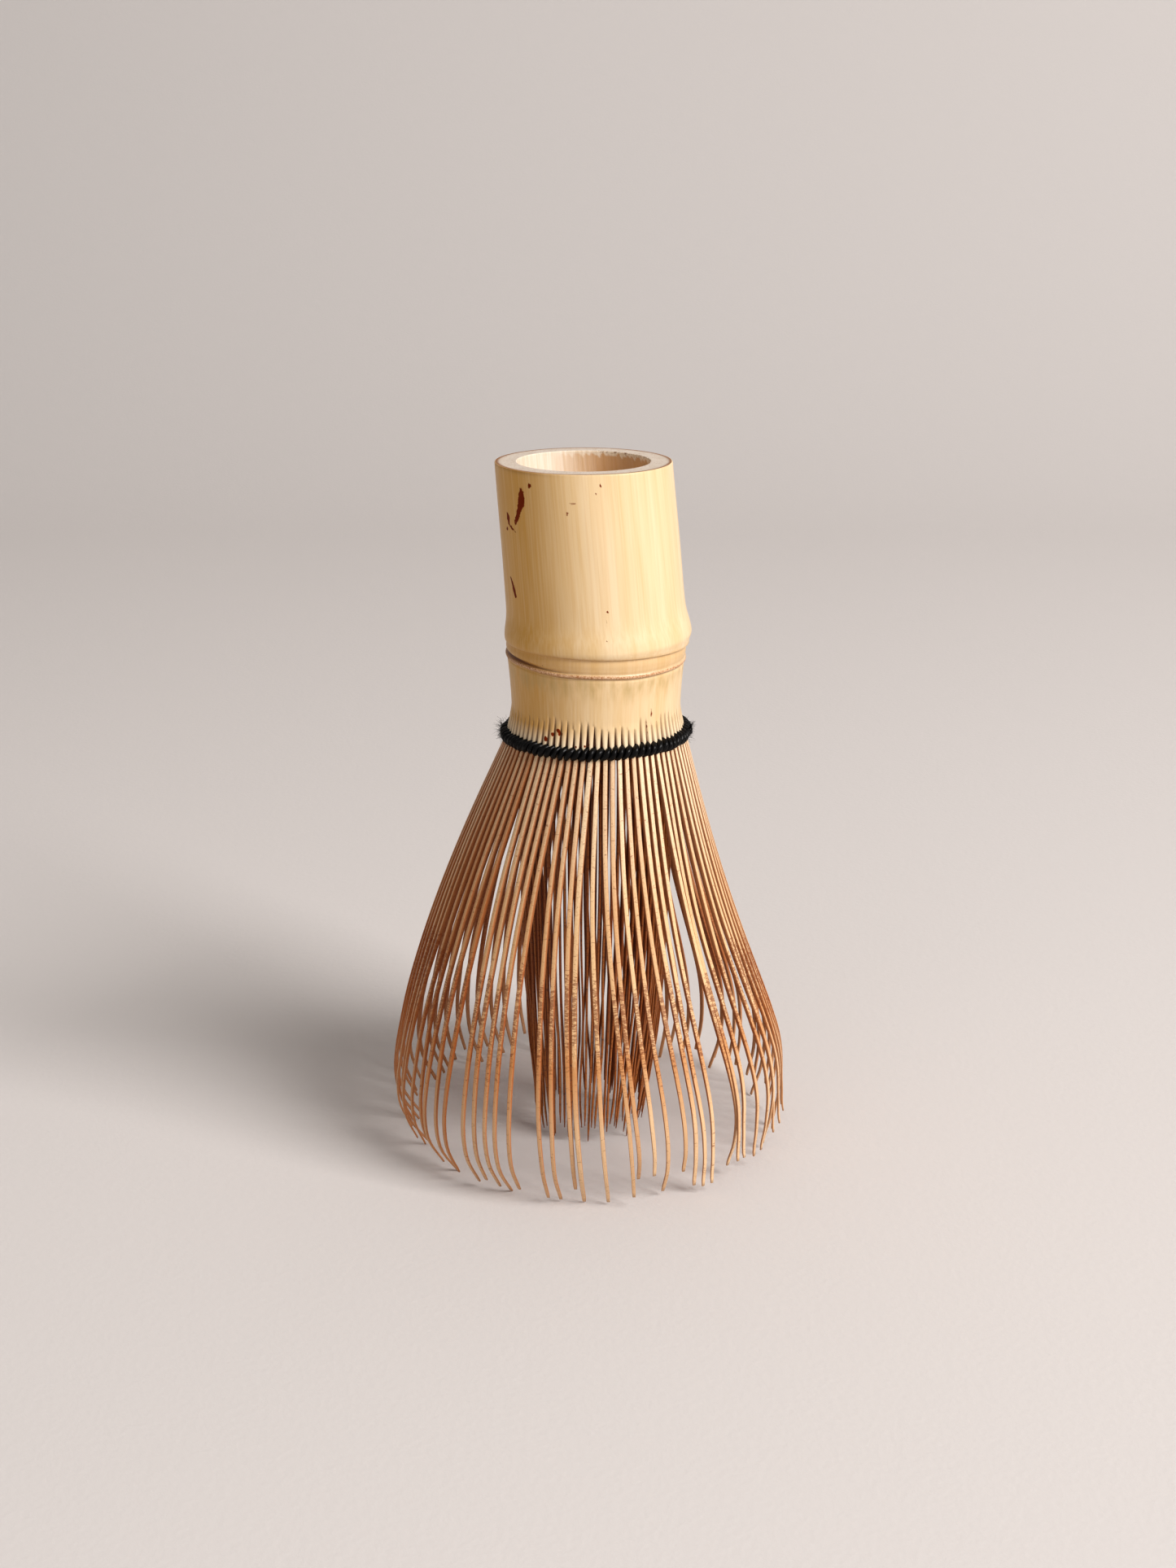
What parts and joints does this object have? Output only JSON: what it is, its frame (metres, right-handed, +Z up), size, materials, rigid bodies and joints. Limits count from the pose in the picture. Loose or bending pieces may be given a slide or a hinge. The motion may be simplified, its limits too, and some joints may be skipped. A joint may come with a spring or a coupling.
{
  "type": "bamboo tea whisk",
  "caption": "Tea whisk carved from one bamboo culm: hollow leaning handle, node, collar, curled outer tines, gathered inner tines and twined black thread.",
  "frame": {"origin": "on the table, at the centre of the ring of tines that the whisk stands on", "axes": "+Z up, from the tine tips to the handle's end; the handle leans towards -X; -Y is the side facing a viewer"},
  "size_m": [0.0623, 0.062, 0.106],
  "materials": {
    "bamboo_skin": "satin",
    "bamboo_septum": "matte",
    "outer_tine_bamboo": "satin",
    "inner_tine_bamboo": "satin",
    "black_thread": "matte"
  },
  "bodies": {
    "culm": {"handle": "bamboo_skin", "septum": "bamboo_septum", "collar": "bamboo_skin", "inner_roots": "inner_tine_bamboo", "thread_upper": "black_thread", "thread_lower": "black_thread", "thread_back": "black_thread", "thread_knot": "black_thread"},
    "outer_group_01": {"outer_tines_01": "outer_tine_bamboo"},
    "outer_group_02": {"outer_tines_02": "outer_tine_bamboo"},
    "outer_group_03": {"outer_tines_03": "outer_tine_bamboo"},
    "outer_group_04": {"outer_tines_04": "outer_tine_bamboo"},
    "outer_group_05": {"outer_tines_05": "outer_tine_bamboo"},
    "outer_group_06": {"outer_tines_06": "outer_tine_bamboo"},
    "outer_group_07": {"outer_tines_07": "outer_tine_bamboo"},
    "outer_group_08": {"outer_tines_08": "outer_tine_bamboo"},
    "outer_group_09": {"outer_tines_09": "outer_tine_bamboo"},
    "outer_group_10": {"outer_tines_10": "outer_tine_bamboo"},
    "outer_group_11": {"outer_tines_11": "outer_tine_bamboo"},
    "outer_group_12": {"outer_tines_12": "outer_tine_bamboo"},
    "outer_group_13": {"outer_tines_13": "outer_tine_bamboo"},
    "outer_group_14": {"outer_tines_14": "outer_tine_bamboo"},
    "outer_group_15": {"outer_tines_15": "outer_tine_bamboo"},
    "outer_group_16": {"outer_tines_16": "outer_tine_bamboo"},
    "inner_group_01": {"inner_tines_01": "inner_tine_bamboo"},
    "inner_group_02": {"inner_tines_02": "inner_tine_bamboo"},
    "inner_group_03": {"inner_tines_03": "inner_tine_bamboo"},
    "inner_group_04": {"inner_tines_04": "inner_tine_bamboo"},
    "inner_group_05": {"inner_tines_05": "inner_tine_bamboo"},
    "inner_group_06": {"inner_tines_06": "inner_tine_bamboo"},
    "inner_group_07": {"inner_tines_07": "inner_tine_bamboo"},
    "inner_group_08": {"inner_tines_08": "inner_tine_bamboo"},
    "inner_group_09": {"inner_tines_09": "inner_tine_bamboo"},
    "inner_group_10": {"inner_tines_10": "inner_tine_bamboo"},
    "inner_group_11": {"inner_tines_11": "inner_tine_bamboo"},
    "inner_group_12": {"inner_tines_12": "inner_tine_bamboo"},
    "inner_group_13": {"inner_tines_13": "inner_tine_bamboo"},
    "inner_group_14": {"inner_tines_14": "inner_tine_bamboo"},
    "inner_group_15": {"inner_tines_15": "inner_tine_bamboo"},
    "inner_group_16": {"inner_tines_16": "inner_tine_bamboo"}
  },
  "joints": [
    {"name": "outer_flex_01", "type": "hinge", "parent": "culm", "child": "outer_group_01", "pos_m": [0.0004, -0.01345, 0.06395], "axis": [-0.9982, 0.0593, 0], "range_deg": [-2.5, 6], "stiffness_Nm_per_rad": 0.012},
    {"name": "outer_flex_02", "type": "hinge", "parent": "culm", "child": "outer_group_02", "pos_m": [0.00561, -0.01273, 0.06395], "axis": [-0.9449, -0.3272, 0], "range_deg": [-2.5, 6], "stiffness_Nm_per_rad": 0.012},
    {"name": "outer_flex_03", "type": "hinge", "parent": "culm", "child": "outer_group_03", "pos_m": [0.01015, -0.01008, 0.06395], "axis": [-0.7478, -0.6639, 0], "range_deg": [-2.5, 6], "stiffness_Nm_per_rad": 0.012},
    {"name": "outer_flex_04", "type": "hinge", "parent": "culm", "child": "outer_group_04", "pos_m": [0.01332, -0.00589, 0.06395], "axis": [-0.4368, -0.8996, 0], "range_deg": [-2.5, 6], "stiffness_Nm_per_rad": 0.012},
    {"name": "outer_flex_05", "type": "hinge", "parent": "culm", "child": "outer_group_05", "pos_m": [0.01465, -0.0008, 0.06395], "axis": [-0.0593, -0.9982, 0], "range_deg": [-2.5, 6], "stiffness_Nm_per_rad": 0.012},
    {"name": "outer_flex_06", "type": "hinge", "parent": "culm", "child": "outer_group_06", "pos_m": [0.01393, 0.00441, 0.06395], "axis": [0.3272, -0.9449, 0], "range_deg": [-2.5, 6], "stiffness_Nm_per_rad": 0.012},
    {"name": "outer_flex_07", "type": "hinge", "parent": "culm", "child": "outer_group_07", "pos_m": [0.01128, 0.00895, 0.06395], "axis": [0.6639, -0.7478, 0], "range_deg": [-2.5, 6], "stiffness_Nm_per_rad": 0.012},
    {"name": "outer_flex_08", "type": "hinge", "parent": "culm", "child": "outer_group_08", "pos_m": [0.00709, 0.01212, 0.06395], "axis": [0.8996, -0.4368, 0], "range_deg": [-2.5, 6], "stiffness_Nm_per_rad": 0.012},
    {"name": "outer_flex_09", "type": "hinge", "parent": "culm", "child": "outer_group_09", "pos_m": [0.002, 0.01345, 0.06395], "axis": [0.9982, -0.0593, 0], "range_deg": [-2.5, 6], "stiffness_Nm_per_rad": 0.012},
    {"name": "outer_flex_10", "type": "hinge", "parent": "culm", "child": "outer_group_10", "pos_m": [-0.00321, 0.01273, 0.06395], "axis": [0.9449, 0.3272, 0], "range_deg": [-2.5, 6], "stiffness_Nm_per_rad": 0.012},
    {"name": "outer_flex_11", "type": "hinge", "parent": "culm", "child": "outer_group_11", "pos_m": [-0.00775, 0.01008, 0.06395], "axis": [0.7478, 0.6639, 0], "range_deg": [-2.5, 6], "stiffness_Nm_per_rad": 0.012},
    {"name": "outer_flex_12", "type": "hinge", "parent": "culm", "child": "outer_group_12", "pos_m": [-0.01092, 0.00589, 0.06395], "axis": [0.4368, 0.8996, 0], "range_deg": [-2.5, 6], "stiffness_Nm_per_rad": 0.012},
    {"name": "outer_flex_13", "type": "hinge", "parent": "culm", "child": "outer_group_13", "pos_m": [-0.01225, 0.0008, 0.06395], "axis": [0.0593, 0.9982, 0], "range_deg": [-2.5, 6], "stiffness_Nm_per_rad": 0.012},
    {"name": "outer_flex_14", "type": "hinge", "parent": "culm", "child": "outer_group_14", "pos_m": [-0.01153, -0.00441, 0.06395], "axis": [-0.3272, 0.9449, 0], "range_deg": [-2.5, 6], "stiffness_Nm_per_rad": 0.012},
    {"name": "outer_flex_15", "type": "hinge", "parent": "culm", "child": "outer_group_15", "pos_m": [-0.00888, -0.00895, 0.06395], "axis": [-0.6639, 0.7478, 0], "range_deg": [-2.5, 6], "stiffness_Nm_per_rad": 0.012},
    {"name": "outer_flex_16", "type": "hinge", "parent": "culm", "child": "outer_group_16", "pos_m": [-0.00469, -0.01212, 0.06395], "axis": [-0.8996, 0.4368, 0], "range_deg": [-2.5, 6], "stiffness_Nm_per_rad": 0.012},
    {"name": "inner_flex_01", "type": "hinge", "parent": "culm", "child": "inner_group_01", "pos_m": [0.00097, -0.01156, 0.06395], "axis": [-0.9998, 0.0201, 0], "range_deg": [-1, 5], "stiffness_Nm_per_rad": 0.006},
    {"name": "inner_flex_02", "type": "hinge", "parent": "culm", "child": "inner_group_02", "pos_m": [0.00541, -0.01077, 0.06395], "axis": [-0.9314, -0.3641, 0], "range_deg": [-1, 5], "stiffness_Nm_per_rad": 0.006},
    {"name": "inner_flex_03", "type": "hinge", "parent": "culm", "child": "inner_group_03", "pos_m": [0.00921, -0.00834, 0.06395], "axis": [-0.7212, -0.6928, 0], "range_deg": [-1, 5], "stiffness_Nm_per_rad": 0.006},
    {"name": "inner_flex_04", "type": "hinge", "parent": "culm", "child": "inner_group_04", "pos_m": [0.01179, -0.00464, 0.06395], "axis": [-0.4011, -0.916, 0], "range_deg": [-1, 5], "stiffness_Nm_per_rad": 0.006},
    {"name": "inner_flex_05", "type": "hinge", "parent": "culm", "child": "inner_group_05", "pos_m": [0.01276, -0.00023, 0.06395], "axis": [-0.0201, -0.9998, 0], "range_deg": [-1, 5], "stiffness_Nm_per_rad": 0.006},
    {"name": "inner_flex_06", "type": "hinge", "parent": "culm", "child": "inner_group_06", "pos_m": [0.01197, 0.00421, 0.06395], "axis": [0.3641, -0.9314, 0], "range_deg": [-1, 5], "stiffness_Nm_per_rad": 0.006},
    {"name": "inner_flex_07", "type": "hinge", "parent": "culm", "child": "inner_group_07", "pos_m": [0.00954, 0.00801, 0.06395], "axis": [0.6928, -0.7212, 0], "range_deg": [-1, 5], "stiffness_Nm_per_rad": 0.006},
    {"name": "inner_flex_08", "type": "hinge", "parent": "culm", "child": "inner_group_08", "pos_m": [0.00584, 0.01059, 0.06395], "axis": [0.916, -0.4011, 0], "range_deg": [-1, 5], "stiffness_Nm_per_rad": 0.006},
    {"name": "inner_flex_09", "type": "hinge", "parent": "culm", "child": "inner_group_09", "pos_m": [0.00143, 0.01156, 0.06395], "axis": [0.9998, -0.0201, 0], "range_deg": [-1, 5], "stiffness_Nm_per_rad": 0.006},
    {"name": "inner_flex_10", "type": "hinge", "parent": "culm", "child": "inner_group_10", "pos_m": [-0.00301, 0.01077, 0.06395], "axis": [0.9314, 0.3641, 0], "range_deg": [-1, 5], "stiffness_Nm_per_rad": 0.006},
    {"name": "inner_flex_11", "type": "hinge", "parent": "culm", "child": "inner_group_11", "pos_m": [-0.00681, 0.00834, 0.06395], "axis": [0.7212, 0.6928, 0], "range_deg": [-1, 5], "stiffness_Nm_per_rad": 0.006},
    {"name": "inner_flex_12", "type": "hinge", "parent": "culm", "child": "inner_group_12", "pos_m": [-0.00939, 0.00464, 0.06395], "axis": [0.4011, 0.916, 0], "range_deg": [-1, 5], "stiffness_Nm_per_rad": 0.006},
    {"name": "inner_flex_13", "type": "hinge", "parent": "culm", "child": "inner_group_13", "pos_m": [-0.01036, 0.00023, 0.06395], "axis": [0.0201, 0.9998, 0], "range_deg": [-1, 5], "stiffness_Nm_per_rad": 0.006},
    {"name": "inner_flex_14", "type": "hinge", "parent": "culm", "child": "inner_group_14", "pos_m": [-0.00957, -0.00421, 0.06395], "axis": [-0.3641, 0.9314, 0], "range_deg": [-1, 5], "stiffness_Nm_per_rad": 0.006},
    {"name": "inner_flex_15", "type": "hinge", "parent": "culm", "child": "inner_group_15", "pos_m": [-0.00714, -0.00801, 0.06395], "axis": [-0.6928, 0.7212, 0], "range_deg": [-1, 5], "stiffness_Nm_per_rad": 0.006},
    {"name": "inner_flex_16", "type": "hinge", "parent": "culm", "child": "inner_group_16", "pos_m": [-0.00344, -0.01059, 0.06395], "axis": [-0.916, 0.4011, 0], "range_deg": [-1, 5], "stiffness_Nm_per_rad": 0.006}
  ]
}
